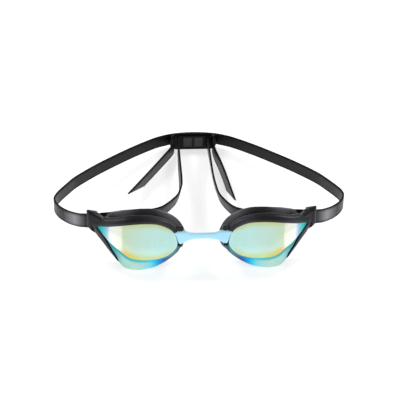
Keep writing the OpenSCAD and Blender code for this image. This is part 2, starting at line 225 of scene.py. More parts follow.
def to_row(points, side=1):
    """Layout millimetres to metres in the row frame, mirrored for the right side."""
    p = np.asarray(points, float)
    return (p - [0, MIDDLE_Y, 0]) * [side * MM, MM, MM]


def wrap(u):
    """How far the wrapped front falls back at a distance outward."""
    most = np.where(u > WRAP_START, TEMPLE_WRAP, NOSE_WRAP)
    return most * ((u - WRAP_START) / WRAP_RUN) ** 2


def cup_outline():
    """The matching outlines of a cup, finely stepped."""
    table = np.column_stack([FACET, RIM, GASKET, SEAL, REACH, HOOD])
    fine = spline(table, OUTLINE_STEPS, closed=True)
    facet, rim = fine[:, 0:2], fine[:, 2:4]
    return SimpleNamespace(
        facet=facet, outward=unit(rim - facet), breadth=np.linalg.norm(rim - facet, axis=1),
        gasket=fine[:, 4:6], seal=fine[:, 6:8], reach=fine[:, 8], hood=fine[:, 9],
    )


CUP = cup_outline()


def behind(points, depth, share=1.0):
    """Outline points at a depth behind the wrapped front, as cup points."""
    u, v = points[..., 0], points[..., 1]
    return np.stack([u, share * wrap(u) + depth, v], axis=-1)


def from_facet(out, depth):
    """A ring at some distance outward from the lens's flat face, as cup points."""
    out = np.broadcast_to(out, CUP.breadth.shape)
    return behind(CUP.facet + CUP.outward * out[:, None], depth)


# ---- Meshes ----


def grid_faces(rows, cols, rows_close, cols_close):
    """Quads over a grid of points that may close on itself either way."""
    faces = []
    for i in range(rows if rows_close else rows - 1):
        for j in range(cols if cols_close else cols - 1):
            right, below = (j + 1) % cols, (i + 1) % rows
            faces.append((i * cols + j, i * cols + right, below * cols + right, below * cols + j))
    return faces


def tube_faces(rings, around, start_cap=True, end_cap=True):
    """Quads over a row of rings, with a face over either end."""
    faces = grid_faces(rings, around, False, True)
    if start_cap:
        faces.append(tuple(range(around))[::-1])
    if end_cap:
        faces.append(tuple(range((rings - 1) * around, rings * around)))
    return faces


def new_object(name, mesh):
    obj = bpy.data.objects.new(name, mesh)
    bpy.context.scene.collection.objects.link(obj)
    return obj


def outward_normals(mesh):
    """Turns every face of a closed mesh outward."""
    bm = bmesh.new()
    bm.from_mesh(mesh)
    bmesh.ops.remove_doubles(bm, verts=bm.verts, dist=1e-7)
    bmesh.ops.recalc_face_normals(bm, faces=bm.faces)
    bm.to_mesh(mesh)
    bm.free()


def make_object(name, points, faces, crease=40):
    """A closed mesh from points already in the row frame, smooth up to the crease angle."""
    mesh = bpy.data.meshes.new(name)
    mesh.from_pydata([tuple(p) for p in points], [], faces)
    outward_normals(mesh)
    shade(mesh, crease)
    return new_object(name, mesh)


def shade(mesh, crease):
    mesh.shade_smooth()
    mesh.set_sharp_from_angle(angle=math.radians(crease))


def mesh_points(mesh):
    """The mesh's points in millimetres in the row frame."""
    flat = np.empty(3 * len(mesh.vertices), np.float32)
    mesh.vertices.foreach_get("co", flat)
    return flat.reshape(-1, 3) / MM


def store(mesh, name, values, kind="FLOAT_VECTOR"):
    """Keeps values at the mesh's points for its material to read."""
    attribute = mesh.attributes.new(name, kind, "POINT")
    field = "vector" if kind == "FLOAT_VECTOR" else "value"
    attribute.data.foreach_set(field, np.asarray(values, np.float32).ravel())


def apply_modifiers(obj):
    """Bakes the object's modifiers into its mesh."""
    shown = obj.evaluated_get(bpy.context.evaluated_depsgraph_get())
    mesh = bpy.data.meshes.new_from_object(shown)
    old = obj.data
    obj.modifiers.clear()
    obj.data = mesh
    bpy.data.meshes.remove(old)


def combine(obj, other, operation):
    """Boolean of two closed meshes; the second one is used up."""
    modifier = obj.modifiers.new("shape", "BOOLEAN")
    modifier.operation = operation
    modifier.solver = "EXACT"
    modifier.object = other
    apply_modifiers(obj)
    spare = other.data
    bpy.data.objects.remove(other)
    bpy.data.meshes.remove(spare)


def round_edges(obj, width, segments=3, angle=35):
    """Rounds the edges that are sharper than the angle."""
    modifier = obj.modifiers.new("edges", "BEVEL")
    modifier.width = width * MM
    modifier.segments = segments
    modifier.limit_method = "ANGLE"
    modifier.angle_limit = math.radians(angle)
    apply_modifiers(obj)


def join(name, objects):
    """Several meshes as one object."""
    bm = bmesh.new()
    for obj in objects:
        bm.from_mesh(obj.data)
    mesh = bpy.data.meshes.new(name)
    bm.to_mesh(mesh)
    bm.free()
    for obj in objects:
        bpy.data.objects.remove(obj)
    return new_object(name, mesh)


def block(low, high, radius=0.0, place=None, side=1):
    """A box with rounded edges between two corners in layout or, with place, in cup points."""
    bm = bmesh.new()
    bmesh.ops.create_cube(bm, size=1)
    low, high = np.array(low, float), np.array(high, float)
    for vert in bm.verts:
        vert.co = Vector((low + high) / 2 + np.array(vert.co) * (high - low))
    if radius:
        bmesh.ops.bevel(
            bm, geom=list(bm.edges), offset=radius, segments=3, profile=0.5, affect="EDGES"
        )
    return placed(bm, place, side)


def prism(outline, low, high, radius, place=None, side=1, axis=2, segments=3):
    """An outline extruded along an axis, with its two end rims rounded."""
    bm = bmesh.new()
    loops = []
    for height in (low, high):
        points = np.insert(np.asarray(outline, float), axis, height, axis=1)
        loops.append([bm.verts.new(p) for p in points])
    bottom = bm.faces.new(loops[0])
    top = bm.faces.new(loops[1])
    for i in range(len(outline)):
        j = (i + 1) % len(outline)
        bm.faces.new((loops[0][i], loops[0][j], loops[1][j], loops[1][i]))
    bmesh.ops.recalc_face_normals(bm, faces=bm.faces)
    if radius:
        rims = list(bottom.edges) + list(top.edges)
        bmesh.ops.bevel(bm, geom=rims, offset=radius, segments=segments, profile=0.5, affect="EDGES")
    return placed(bm, place, side)


def placed(bm, place, side):
    """Turns a bmesh drawn in millimetres into an object in the row frame."""
    points = np.array([v.co for v in bm.verts])
    points = to_row(place(points) if place else points, side)
    for vert, point in zip(bm.verts, points):
        vert.co = Vector(point)
    bmesh.ops.recalc_face_normals(bm, faces=bm.faces)
    mesh = bpy.data.meshes.new("part")
    bm.to_mesh(mesh)
    bm.free()
    return new_object("part", mesh)


def arc(middle, radius, start, end, steps):
    """Points on an arc, angles in degrees."""
    angles = np.radians(np.linspace(start, end, steps))
    return [[middle[0] + radius * math.cos(a), middle[1] + radius * math.sin(a)] for a in angles]


def circle(middle, radius):
    """Points round a circle, every 15 degrees."""
    return arc(middle, radius, 0, 345, 24)


def cut_corners(sections, share):
    """Rounds closed sections, [station, corner, value], by cutting a share off every edge's ends."""
    after = np.roll(sections, -1, axis=1)
    near = sections + (after - sections) * share
    far = after + (sections - after) * share
    return np.stack([near, far], axis=2).reshape(len(sections), -1, sections.shape[2])


# ---- Materials ----


def srgb(*colour):
    """Display colour, 0 to 255, as linear RGBA."""
    c = np.array(colour) / 255
    linear = np.where(c <= 0.04045, c / 12.92, ((c + 0.055) / 1.055) ** 2.4)
    return (*linear, 1.0)


class Paint:
    """A node material, with short calls for the nodes that it needs."""

    def __init__(self, name, **constants):
        self.material = bpy.data.materials.new(name)
        self.material.use_nodes = True
        self.tree = self.material.node_tree
        self.shader = self.tree.nodes["Principled BSDF"]
        for socket, value in constants.items():
            self.shader.inputs[socket.replace("_", " ")].default_value = value

    def node(self, kind, inputs, output=0, **settings):
        made = self.tree.nodes.new(kind)
        for key, value in settings.items():
            setattr(made, key, value)
        for socket, value in inputs.items():
            self.give(made.inputs[socket], value)
        return made.outputs[output]

    def give(self, socket, value):
        if isinstance(value, bpy.types.NodeSocket):
            self.tree.links.new(value, socket)
        else:
            socket.default_value = value

    def plug(self, name, value):
        self.give(self.shader.inputs[name], value)

    def point(self):
        return self.node("ShaderNodeTexCoord", {}, "Object")

    def attribute(self, name, output="Fac"):
        return self.node("ShaderNodeAttribute", {}, output, attribute_name=name)

    def split(self, vector):
        parts = self.tree.nodes.new("ShaderNodeSeparateXYZ")
        self.give(parts.inputs[0], vector)
        return parts.outputs[0], parts.outputs[1], parts.outputs[2]

    def noise(self, scale, detail=3.0, roughness=0.55, vector=None):
        inputs = {"Vector": vector or self.point(), "Scale": scale, "Detail": detail}
        inputs["Roughness"] = roughness
        return self.node("ShaderNodeTexNoise", inputs, "Fac")

    def math(self, operation, a, b=0.0, c=0.0):
        return self.node("ShaderNodeMath", {0: a, 1: b, 2: c}, operation=operation)

    def span(self, value, low, high, start=0.0, end=1.0):
        """Eases from start to end while value goes from low to high."""
        inputs = {"Value": value, "From Min": low, "From Max": high, "To Min": start, "To Max": end}
        return self.node("ShaderNodeMapRange", inputs, interpolation_type="SMOOTHSTEP")

    def ramp(self, value, low, high, stops):
        """A colour for each value between low and high, through the stops {value: colour}."""
        share = self.node("ShaderNodeMapRange", {"Value": value, "From Min": low, "From Max": high})
        made = self.tree.nodes.new("ShaderNodeValToRGB")
        self.give(made.inputs[0], share)
        band = made.color_ramp
        for index, (place, colour) in enumerate(sorted(stops.items())):
            position = (place - low) / (high - low)
            stop = band.elements[index] if index < 2 else band.elements.new(position)
            stop.position = position
            stop.color = srgb(*colour)
        return made.outputs["Color"]

    def mix(self, share, a, b):
        made = self.tree.nodes.new("ShaderNodeMix")
        made.data_type = "RGBA"
        self.give(made.inputs[0], share)
        self.give(made.inputs[6], a)
        self.give(made.inputs[7], b)
        return made.outputs[2]

    def clouds(self, dark, light, scale=60, detail=4):
        """A colour that drifts between two shades."""
        share = self.span(self.noise(scale, detail), 0.3, 0.7)
        return self.mix(share, srgb(*dark), srgb(*light))

    def sheen(self, low, high, scale=350, detail=5):
        """A roughness that drifts between two values."""
        return self.span(self.noise(scale, detail), 0.3, 0.7, low, high)

    def bump(self, height, strength, distance):
        inputs = {"Height": height, "Strength": strength, "Distance": distance * MM}
        self.plug("Normal", self.node("ShaderNodeBump", inputs, "Normal"))


def lens_material():
    """Mirror coating whose colour runs with the place on the lens, from teal to pale to gold, with a
    painted reflection: a near-white band on the outer part stands for a soft box.
    """
    paint = Paint("lens_mirror", Metallic=1.0, Coat_Weight=0.1, Coat_Roughness=0.05)
    across, up, edge = paint.split(paint.attribute("lens_place", "Vector"))
    drift = paint.noise(45, 2)
    across = paint.math("ADD", across, paint.span(drift, 0.3, 0.7, -0.5, 0.5))
    # Painted reflection: the near-white stops from 56.9 to 64.5 outward stand for a soft box mirrored in
    # the lens
    face = paint.ramp(across, 15, 75, {
        17: (196, 238, 232), 22: (188, 232, 225), 32: (193, 232, 226), 42: (195, 229, 217),
        49: (197, 226, 208), 54.5: (200, 222, 196), 56: (206, 222, 190), 56.9: (237, 242, 225),
        60: (242, 245, 232), 64.5: (236, 245, 237), 65.8: (196, 208, 236), 67: (140, 196, 206),
        69: (84, 190, 190), 71.5: (36, 160, 162), 74: (18, 124, 136),
    })
    # Painted reflection: from 58.5 outward the near-white soft-box band carries on along the lower edge
    gold = paint.ramp(across, 15, 75, {
        20: (196, 222, 200), 26: (190, 212, 168), 30: (204, 212, 150), 36: (190, 212, 158),
        42: (196, 212, 146), 47: (200, 202, 116), 51: (208, 198, 90), 54: (224, 190, 104),
        56.5: (238, 200, 150), 58.5: (239, 234, 214), 63: (238, 245, 237),
    })
    low = paint.math("MULTIPLY", paint.span(up, 21, 13.5), paint.span(edge, -6.5, -0.6))
    face = paint.mix(low, face, gold)
    high = paint.math("MULTIPLY", paint.span(up, 26, 32), paint.span(edge, -5, -0.4))
    high = paint.math("MULTIPLY", high, paint.span(across, 60, 52))
    face = paint.mix(high, face, srgb(198, 212, 158))
    rim = paint.ramp(across, 15, 75, {
        16: (8, 52, 62), 18: (38, 96, 106), 20: (56, 128, 136), 22.2: (76, 112, 118),
        24.5: (62, 84, 112), 27: (28, 84, 160), 30: (14, 146, 218), 32.8: (38, 196, 233),
        35.5: (104, 216, 236), 38: (148, 222, 231), 42: (176, 222, 218), 48: (192, 226, 214),
        56: (168, 214, 206), 62: (60, 160, 168), 74: (20, 128, 138),
    })
    line = paint.ramp(across, 15, 75, {
        18: (60, 130, 138), 28: (20, 150, 220), 36: (60, 200, 225), 44: (70, 190, 200),
        56: (44, 172, 180), 62: (28, 156, 166), 74: (22, 130, 140),
    })
    near_line = paint.span(edge, 0.42, 0.08)
    rim = paint.mix(near_line, rim, line)
    outside = paint.mix(paint.span(edge, -0.02, 0.02), face, rim)
    colour = paint.mix(paint.span(edge, 1.4, 1.6), outside, srgb(28, 92, 96))
    paint.plug("Base Color", colour)
    paint.plug("Roughness", paint.span(paint.noise(160, 4), 0.35, 0.75, 0.1, 0.17))
    paint.bump(paint.noise(900, 3), 0.05, 0.02)
    return paint.material


def bridge_material():
    """Light blue translucent plastic, with a faint glow for the light that passes through it."""
    glow = {"Emission_Color": (0.45, 0.82, 1, 1), "Emission_Strength": 0.28}
    paint = Paint("bridge_plastic", **glow)
    paint.plug("Base Color", paint.clouds((170, 230, 255), (180, 235, 255)))
    paint.plug("Roughness", paint.sheen(0.38, 0.48))
    paint.bump(paint.noise(2400, 4), 0.1, 0.04)
    return paint.material


# Painted shade: the horn's top is painted black above a line that climbs outward, from the temple's side
# of the brow
HORN_CLIMB = 0.39
HORN_LINE = [8.2, 8.8]
HORN_START = [69, 71]


def horn_shade_share(paint):
    """1 on the strip along the top of the horn that is painted black as shade, 0 on the rest of the
    frame.
    """
    x, y, z = paint.split(paint.point())
    u = paint.math("MULTIPLY", paint.math("ABSOLUTE", x), 1 / MM)
    up = paint.math("MULTIPLY_ADD", z, SLOT_UP[2] / MM, -CUP_LIFT * SLOT_UP[2])
    up = paint.math("ADD", up, paint.math("MULTIPLY_ADD", y, SLOT_UP[1] / MM, MIDDLE_Y * SLOT_UP[1]))
    above = paint.math("MULTIPLY_ADD", u, -HORN_CLIMB, up)
    return paint.math("MULTIPLY", paint.span(above, *HORN_LINE), paint.span(u, *HORN_START))


def frame_material():
    """Satin charcoal plastic, with a painted highlight, greyer where the brow would face the light, and
    painted shade, black on the horn's top.
    """
    paint = Paint("frame_plastic", Specular_IOR_Level=0.22)
    plain = paint.clouds((40, 40, 43), (50, 50, 54))
    # Painted highlight: the brow is greyer in soft lobes where it would catch the light
    body = paint.mix(paint.attribute("frame_sheen"), plain, srgb(74, 74, 80))
    # Painted shade: the strip along the horn's top is painted near-black
    paint.plug("Base Color", paint.mix(horn_shade_share(paint), body, srgb(5, 5, 6)))
    paint.plug("Roughness", paint.sheen(0.28, 0.38))
    paint.bump(paint.noise(2600, 4), 0.12, 0.04)
    return paint.material


def gasket_material():
    """Soft black silicone, with painted shade, darker in the groove where its collar meets the frame,
    and painted highlights, paler on its wall at two places along the brow.
    """
    paint = Paint("gasket_silicone", Specular_IOR_Level=0.5)
    plain = paint.clouds((42, 42, 45), (54, 54, 58))
    # Painted highlight: the wall is paler in soft lobes where it would catch the light
    wall = paint.mix(paint.attribute("gasket_sheen"), plain, srgb(120, 120, 124))
    # Painted shade: the groove where the collar meets the frame is near-black
    paint.plug("Base Color", paint.mix(paint.attribute("gasket_groove_shade"), wall, srgb(7, 7, 8)))
    paint.plug("Roughness", paint.sheen(0.3, 0.4))
    paint.bump(paint.noise(1700, 4), 0.06, 0.04)
    return paint.material


def strap_material():
    """Black silicone, with painted shade, darker on its edges and on the far run, and a painted
    highlight, paler where it bends at the temple.
    """
    paint = Paint("strap_silicone", Specular_IOR_Level=0.25)
    face = paint.clouds((44, 44, 48), (54, 54, 58), 70)
    # Painted shade: the far run is darker
    face = paint.mix(paint.attribute("strap_far_shade"), face, srgb(10, 10, 12))
    # Painted highlight: the bend beside the temple is paler
    face = paint.mix(paint.attribute("strap_bend_highlight"), face, srgb(165, 165, 172))
    narrow = paint.attribute("strap_edge")
    # Painted shade: the rounded edges are darker than the flat faces
    paint.plug("Base Color", paint.mix(narrow, face, srgb(14, 14, 16)))
    paint.plug("Roughness", paint.math("MULTIPLY_ADD", narrow, 0.4, paint.sheen(0.34, 0.46, 420)))
    paint.bump(paint.noise(5200, 2), 0.12, 0.05)
    return paint.material


# ---- Cup pieces ----


def lens_rings():
    """Rings of a lens from the middle of its front, over the bevel and round to its back, each
    with the value that says where it is: millimetres inside the facet edge, 0 to 1 across the
    bevel, and 2 behind it."""
    spokes = CUP.facet - FACET_MIDDLE
    length = np.linalg.norm(spokes, axis=1)
    edge_depth = BEVEL * CUP.reach
    edge_out = CUP.reach * CUP.breadth
    side_out = CUP.reach * (CUP.breadth - 0.8)
    rings, places = [], []
    for part in (0.08, 0.2, 0.32, 0.44, 0.56, 0.67, 0.77, 0.85, 0.91, 0.95, 0.98, 0.993):
        depth = -CROWN * (1 - part**2)
        rings.append(behind(FACET_MIDDLE + spokes * part, depth))
        places.append(-(1 - part) * length)
    for share in (0.012, 0.05, 0.15, 0.3, 0.45, 0.6, 0.75, 0.88, 0.96):
        rings.append(from_facet(share * edge_out, share * edge_depth))
        places.append(np.full(len(length), share))
    for out, depth, place in (
        (edge_out, edge_depth + 0.12, 1.0),
        (edge_out - 0.03, edge_depth + 0.3, 1.3),
        (side_out, edge_depth + LENS_T - 0.2, 2),
        (side_out - 0.2, edge_depth + LENS_T, 2),
        (side_out - 0.9, edge_depth + LENS_T, 2),
        (np.minimum(-0.8, edge_out - 2.4), LENS_T, 2),
    ):
        rings.append(from_facet(out, depth))
        places.append(np.full(len(length), float(place)))
    for part in (0.8, 0.6, 0.4, 0.2, 0.05):
        rings.append(behind(FACET_MIDDLE + spokes * part, LENS_T))
        places.append(np.full(len(length), 2.0))
    return np.array(rings), np.array(places)


def build_lens(name, side, material):
    rings, places = lens_rings()
    count, around, _ = rings.shape
    points = to_row(cup_to_layout(rings.reshape(-1, 3)), side)
    obj = make_object(name, points, tube_faces(count, around), crease=60)
    place = np.column_stack([rings[..., 0].ravel(), rings[..., 2].ravel(), places.ravel()])
    store(obj.data, "lens_place", place)
    obj.data.materials.append(material)
    return obj


def frame_sections():
    """The frame's section at each station: round the front at the brow, behind the lens below."""
    b, k = CUP.breadth, CUP.reach
    lip = np.clip(2 * CUP.hood - 1, 0, 1)
    share = np.clip(2 * CUP.hood, 0, 1)[:, None, None]
    edge, depth, none = k * b + 0.3, BEVEL * k, np.zeros_like(b)
    inner_out = edge + (0.3 - edge) * lip
    inner_depth = depth * (1 - lip)
    crest_out = edge + (0.35 * b - edge) * lip
    crest_depth = (depth - 0.8) * (1 - lip) - 0.9 * lip
    brow_out = np.maximum(0.8 * b, edge + 0.25)
    brow_depth = (depth - 0.5) * (1 - lip) + lip
    front = [
        (inner_out, inner_depth - 0.1), (inner_out, inner_depth - 0.6), (crest_out, crest_depth),
        (brow_out, brow_depth), (np.maximum(b, brow_out + 0.3), none + 4.6),
        (np.maximum(b, brow_out + 0.3) - 1.5 * CUP.hood, none + FRAME_REAR - 0.5),
        (b - 2.6, none + FRAME_REAR), (edge, none + 7), (edge, depth),
    ]
    rear = [
        (b - 2.6, 6.9), (b - 2.2, 6.88), (b - 1.8, 6.86), (b - 1.4, 6.86), (b - 0.95, 6.9),
        (b - 1.85, FRAME_REAR), (b - 3, FRAME_REAR + 0.1), (b - 3.4, 8.6), (b - 3.4, 7.4),
    ]
    front = np.stack([np.stack(pair, axis=1) for pair in front], axis=1)
    rear = np.stack([np.stack([out, none + d], axis=1) for out, d in rear], axis=1)
    return rear + (front - rear) * share


def loft(name, rings, side, crease=45):
    """A closed ring of closed sections, [station, point, xyz], in cup points."""
    stations, corners, _ = rings.shape
    points = to_row(cup_to_layout(rings.reshape(-1, 3)), side)
    return make_object(name, points, grid_faces(stations, corners, True, True), crease)


# The temple end is two blocks. Each is what its plan, its front face and one side profile, which
# slopes the horn's top down toward the back, have in common.
HOUSING_PLAN = [
    [71.5, 13.4], [75.2, 13.4], [77.3, 11.6], [79, 12.2], [80.4, 14], [80.7, 16], [80.7, 17.8],
    [79.8, 20.9], [79, 23.2], [76, 23.2], [74.6, 21.4],
]
HOUSING_FACE = [
    [79.9, 30], [80.6, 31.5], [80.6, 41], [80, 42.6], [79.4, 42.4], [71, 38.4], [70, 38],
    [70, 25], [74.6, 25],
]
HORN_PLAN = [
    [66, 6.4], [70, 7.7], [73, 9.2], [76, 11.2], [79, 12.6], [80.3, 14.2], [80.5, 16], [80.5, 17.5],
    [72, 17.5], [66, 9.5],
]
HORN_FACE = [
    [76.4, 33], [80.4, 31.4], [80.4, 40.9], [79.9, 42.4], [79.3, 42.2], [71, 38], [66, 35.6],
    [66, 34],
]
HORN_PROFILE = [
    [1, 20], [26, 20], [26, 37.9], [23.5, 38.1], [20.9, 38.8], [17.8, 40.4], [13.4, 42.4], [1, 43.5],
]
PLAN_SPAN = [20, 44]
FACE_SPAN = [2, 28]
PROFILE_SPAN = [60, 90]

# Openings and ears, as two corners in cup points
TEMPLE_SLOT = [[68, 17.8, 27.1], [82, 20.9, 37.7]]
BRIDGE_POCKET = [[8, -4, 18.9], [20.6, 6.3, 28.8]]
LOW_EAR = [[14.2, 3, 17.3], [16.3, 8.5, 18.9]]
HIGH_EAR = [[13.6, 3, 28.8], [19.4, 8.5, 31.6]]
POST_AT = [15.6, 4]
POST_R = 0.9
POST_SPAN = [17.6, 31.2]

# Distances outward where the brow and the gasket get painted highlights, paler where they would catch
# the light
FRAME_SHEEN = [28, 64]
GASKET_SHEEN = [23, 57]


def cut_block(plan, face, side):
    """The block that a plan, a front face and the horn's side profile leave in common."""
    made = prism(plan, *PLAN_SPAN, 0, cup_to_layout, side)
    combine(made, prism(face, *FACE_SPAN, 0, cup_to_layout, side, axis=1), "INTERSECT")
    profile = prism(HORN_PROFILE, *PROFILE_SPAN, 0, cup_to_layout, side, axis=0)
    combine(made, profile, "INTERSECT")
    return made


def lobes(u, middles, width=8):
    """Soft peaks at some distances outward."""
    return sum(np.exp(-((u - middle) / width) ** 2) for middle in middles)


def build_frame(name, side, material):
    """The cup's ring with its temple end, the pocket for the bridge and the post inside it."""
    sections = cut_corners(cut_corners(frame_sections(), 0.16), 0.25)
    out, depth = sections[..., 0], sections[..., 1]
    rings = behind(CUP.facet[:, None] + CUP.outward[:, None] * out[..., None], depth)
    body = loft(name, rings, side)
    for plan, face in ((HOUSING_PLAN, HOUSING_FACE), (HORN_PLAN, HORN_FACE)):
        added = cut_block(plan, face, side)
        round_edges(added, 0.2)
        combine(body, added, "UNION")
    for low, high in (TEMPLE_SLOT, BRIDGE_POCKET):
        combine(body, block(low, high, 0, cup_to_layout, side), "DIFFERENCE")
    low_ear = block(*LOW_EAR, 0.4, cup_to_layout, side)
    high_ear = block(*HIGH_EAR, 0.7, cup_to_layout, side)
    post = prism(circle(POST_AT, POST_R), *POST_SPAN, 0.1, cup_to_layout, side)
    obj = join(name, [body, low_ear, high_ear, post])
    # Where the brow's painted highlight lies
    store(obj.data, "frame_sheen", lobes(mesh_points(obj.data)[:, 0] * side, FRAME_SHEEN), "FLOAT")
    shade(obj.data, 40)
    obj.data.materials.append(material)
    return obj


def gasket_rings():
    """The gasket's section: a collar on the frame, a soft wall and a rolled sealing lip."""
    def from_edge(outline, inward, depth, share=1.0):
        return behind(outline - CUP.outward * inward, depth, share)

    section = [
        from_edge(CUP.gasket, 0, GASKET_FRONT), from_edge(CUP.gasket, 0.4, GASKET_FRONT + 0.8),
        from_edge(CUP.seal, 1.5, SEAL_DEPTH - 2.5, SEAL_WRAP),
        from_edge(CUP.seal, 0, SEAL_DEPTH - 1, SEAL_WRAP),
        from_edge(CUP.seal, 0.6, SEAL_DEPTH, SEAL_WRAP),
        from_edge(CUP.seal, 3.8, SEAL_DEPTH - 0.3, SEAL_WRAP),
        from_edge(CUP.seal, 5, SEAL_DEPTH - 1.9, SEAL_WRAP),
        from_edge(CUP.gasket, 2, GASKET_FRONT),
    ]
    return cut_corners(cut_corners(np.stack(section, axis=1), 0.2), 0.25)


def build_gasket(name, side, material):
    rings = gasket_rings()
    obj = loft(name, rings, side, crease=60)
    fall = rings[..., 1] - wrap(rings[..., 0]) - GASKET_FRONT
    # Where the painted shade in the groove between frame and gasket lies
    store(obj.data, "gasket_groove_shade", np.clip(1.6 - fall, 0, 1).ravel(), "FLOAT")
    # Where the gasket's painted highlight lies
    store(obj.data, "gasket_sheen", lobes(rings[..., 0].ravel(), GASKET_SHEEN), "FLOAT")
    obj.data.materials.append(material)
    return obj


# ---- Nose bridge ----

# The bar's height up the cup, and its upper and lower edges as [outward, up from that height]
BRIDGE_UP = 23.9
BRIDGE_TOP = [[0, 3.2], [6, 3.3], [9.5, 3.7], [12, 4.5], [14, 4.7], [20, 4.65]]
BRIDGE_LOW = [
    [0, -0.6], [6, -0.8], [11, -2], [14.2, -3.5], [16.4, -3.8], [17.4, -2.2], [18.6, 1.4], [20, 4],
]
BRIDGE_HALF = 19.9
TAB_START = 9.5
TAB_RUN = 3
BAR_FRONT, BAR_REAR = 1.6, 4.8
TAB_FORWARD, TAB_BACK = 0.8, 1.1
# The right bore is looser, because the posts move apart as the cups swing
BORE_R = {"left": 1.05, "right": 1.5}
BORE_SPAN = [10, 40]


def rounded_section(low, high, front, rear, radius, steps=5):
    """A rounded rectangle in depth and height, as points [depth, up]."""
    corners = [
        ([rear - radius, high - radius], 0), ([front + radius, high - radius], 90),
        ([front + radius, low + radius], 180), ([rear - radius, low + radius], 270),
    ]
    return [p for middle, start in corners for p in arc(middle, radius, start, start + 90, steps)]


def build_bridge(material):
    """The bar swells into a tab at each end, where a frame post goes through it."""
    rings = []
    for x in np.linspace(-BRIDGE_HALF, BRIDGE_HALF, 131):
        reach = abs(x)
        tab = np.clip((reach - TAB_START) / TAB_RUN, 0, 1)
        tab = tab * tab * (3 - 2 * tab)
        high = BRIDGE_UP + np.interp(reach, *np.transpose(spline(BRIDGE_TOP, 8)))
        low = BRIDGE_UP + np.interp(reach, *np.transpose(spline(BRIDGE_LOW, 8)))
        front, rear = BAR_FRONT - TAB_FORWARD * tab, BAR_REAR + TAB_BACK * tab
        radius = min(0.8, 0.45 * (high - low))
        section = rounded_section(low, high, front, rear, radius)
        rings.append([[x, depth, up] for depth, up in section])
    rings = np.array(rings)
    count, around, _ = rings.shape
    points = to_row(cup_to_layout(rings.reshape(-1, 3)))
    obj = make_object("nose_bridge_moulded", points, tube_faces(count, around))
    for name, side in SIDES.items():
        bore = prism(circle(POST_AT, BORE_R[name]), *BORE_SPAN, 0, cup_to_layout, side)
        combine(obj, bore, "DIFFERENCE")
    shade(obj.data, 40)
    obj.data.materials.append(material)
    return obj


# ---- Rear clip ----

CLIP_HALF = 18.5
CLIP_H = 13.5
CLIP_FRONT = 153.3
CLIP_T = 4.7
CLIP_CORNER = 5.2
PANEL_X = [1, 7.6]
PANEL_Z = [2, 11.5]
PANEL_DEPTH = 0.7
CLIP_SLOT_X = [10.9, 17]
CLIP_SLOT_Z = [1.6, 11.9]
CLIP_BAR = [[13, 153.8, 0.9], [15, 155.7, 12.6]]
RIB_X = [8.35, 9.3]
RIB_W = 0.5
LOOP_Z = [0.75, 11.7]
LOOP_WALL = 0.8
LOOP_BEND = 2.9


def clip_plate():
    """The plate with its strap openings and the two sunk panels on its front."""
    x, z, r = CLIP_HALF - CLIP_CORNER, CLIP_H - CLIP_CORNER, CLIP_CORNER
    outline = arc([x, z], r, 0, 90, 9) + arc([-x, z], r, 90, 180, 9)
    outline += arc([-x, r], r, 180, 270, 9) + arc([x, r], r, 270, 360, 9)
    plate = prism(outline, CLIP_FRONT, CLIP_FRONT + CLIP_T, 1.3, axis=1, segments=5)
    inner, outer = PANEL_X
    for start, end in ((-outer, -inner), (inner, outer)):
        low, high = [start, CLIP_FRONT - 1.5, PANEL_Z[0]], [end, CLIP_FRONT + PANEL_DEPTH, PANEL_Z[1]]
        combine(plate, block(low, high), "DIFFERENCE")
    low = [CLIP_SLOT_X[0], CLIP_FRONT - 1, CLIP_SLOT_Z[0]]
    high = [CLIP_SLOT_X[1], CLIP_FRONT + CLIP_T + 1, CLIP_SLOT_Z[1]]
    for side in SIDES.values():
        combine(plate, block(low, high, 0, None, side), "DIFFERENCE")
    round_edges(plate, 0.25, 2, 50)
    return plate


def clip_loop(side):
    """A rounded loop behind one end of the plate, for the strap to run through."""
    (low, high), wall, bend = LOOP_Z, LOOP_WALL, LOOP_BEND
    outer, inner = [[156.5, low]], [[156, low + wall]]
    for middle, start in (([CLIP_REAR - bend, low + bend], 270), ([CLIP_REAR - bend, high - bend], 0)):
        outer += arc(middle, bend, start, start + 90, 8)
        inner += arc(middle, bend - wall, start, start + 90, 8)
    outer.append([156.5, high])
    inner.append([156, high - wall])
    loop = prism(outer, 15.4, 18, 0, None, side, axis=0)
    combine(loop, prism(inner, 15, 19, 0, None, side, axis=0), "DIFFERENCE")
    round_edges(loop, 0.3, 2)
    return loop


def clip_material():
    """Glossy black plastic, with a duller and greyer floor in the sunk panels."""
    paint = Paint("clip_plastic", Specular_IOR_Level=0.15)
    panel = paint.attribute("clip_panel")
    black = paint.clouds((8, 8, 9), (13, 13, 14), 90, 3)
    paint.plug("Base Color", paint.mix(panel, black, srgb(74, 74, 77)))
    paint.plug("Roughness", paint.math("MULTIPLY_ADD", panel, 0.4, paint.sheen(0.1, 0.17, detail=4)))
    paint.bump(paint.noise(1500, 4), 0.05, 0.03)
    return paint.material


def build_clip(material):
    """The plate, a bar across each opening, two ribs beside each panel and the rear loops."""
    parts = [clip_plate()]
    for side in SIDES.values():
        parts.append(block(*CLIP_BAR, 0.55, None, side))
        for x in RIB_X:
            low, high = [x, CLIP_FRONT - 0.38, PANEL_Z[0]], [x + RIB_W, CLIP_FRONT + 0.3, PANEL_Z[1]]
            parts.append(block(low, high, 0.2, None, side))
        parts.append(clip_loop(side))
    obj = join("rear_clip_moulded", parts)
    x, y, _ = mesh_points(obj.data).T
    across = np.abs(np.abs(x) - sum(PANEL_X) / 2) < (PANEL_X[1] - PANEL_X[0]) / 2 + 0.1
    depth = y + MIDDLE_Y - CLIP_FRONT
    sunk = across & (depth > PANEL_DEPTH - 0.15) & (depth < PANEL_DEPTH + 0.1)
    store(obj.data, "clip_panel", sunk, "FLOAT")
    shade(obj.data, 35)
    obj.data.materials.append(material)
    return obj


# ---- Strap ----


